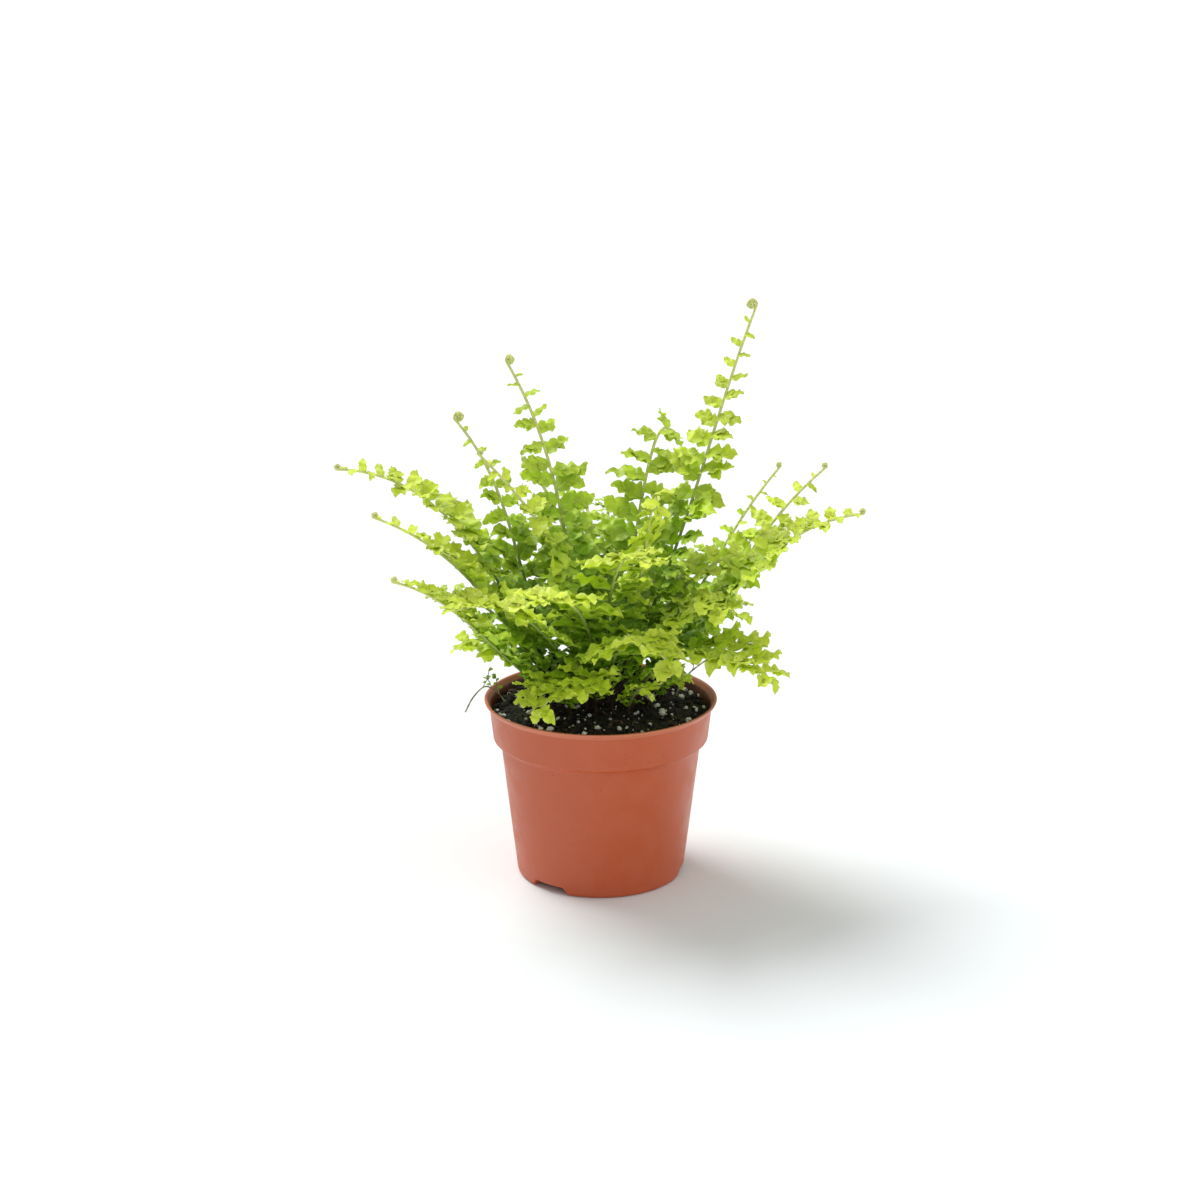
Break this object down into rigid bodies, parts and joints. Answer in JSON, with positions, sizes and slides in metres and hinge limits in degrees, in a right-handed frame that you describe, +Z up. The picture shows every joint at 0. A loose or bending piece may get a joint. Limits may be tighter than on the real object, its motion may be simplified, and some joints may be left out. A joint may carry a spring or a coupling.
{
  "type": "potted fern",
  "caption": "Young ruffled sword fern with arching fronds of lobed leaflets and coiled tips, in soil in a round tapered grower's pot with a deep collar.",
  "frame": {"origin": "on the floor, on the pot's axis", "axes": "+Z up along the pot's axis, +X to the plant's right in the usual view, -Y towards its front"},
  "size_m": [0.2659, 0.1768, 0.2968],
  "materials": {
    "pot": "satin terracotta-coloured moulded plastic",
    "soil": "dark damp potting mix with white perlite grains",
    "leaf_bright": "soft satin leaf, bright lime green",
    "leaf_deep": "soft satin leaf, fresh mid green",
    "runner": "dry fibrous thread, pale straw green"
  },
  "bodies": {
    "root": {"pot": "pot", "potting_soil": "soil", "frond_01": "leaf_bright", "frond_02": "leaf_deep", "frond_03": "leaf_deep", "frond_04": "leaf_bright", "frond_05": "leaf_deep", "frond_06": "leaf_deep", "frond_07": "leaf_deep", "frond_08": "leaf_bright", "frond_09": "leaf_bright", "frond_10": "leaf_bright", "frond_11": "leaf_bright", "frond_12": "leaf_bright", "frond_13": "leaf_bright", "frond_14": "leaf_deep", "frond_15": "leaf_bright", "frond_16": "leaf_bright", "frond_17": "leaf_bright", "frond_18": "leaf_bright", "frond_19": "leaf_bright", "frond_20": "leaf_bright", "frond_21": "leaf_bright", "frond_22": "leaf_bright", "frond_23": "leaf_bright", "frond_24": "leaf_deep", "frond_25": "leaf_deep", "frond_26": "leaf_deep", "frond_27": "leaf_deep", "frond_28": "leaf_deep", "frond_29": "leaf_deep", "frond_30": "leaf_deep", "frond_31": "leaf_bright", "frond_32": "leaf_bright", "frond_33": "leaf_bright", "frond_34": "leaf_bright", "frond_35": "leaf_bright", "frond_36": "leaf_deep", "runner_left": "runner", "runner_right": "runner"}
  },
  "joints": []
}
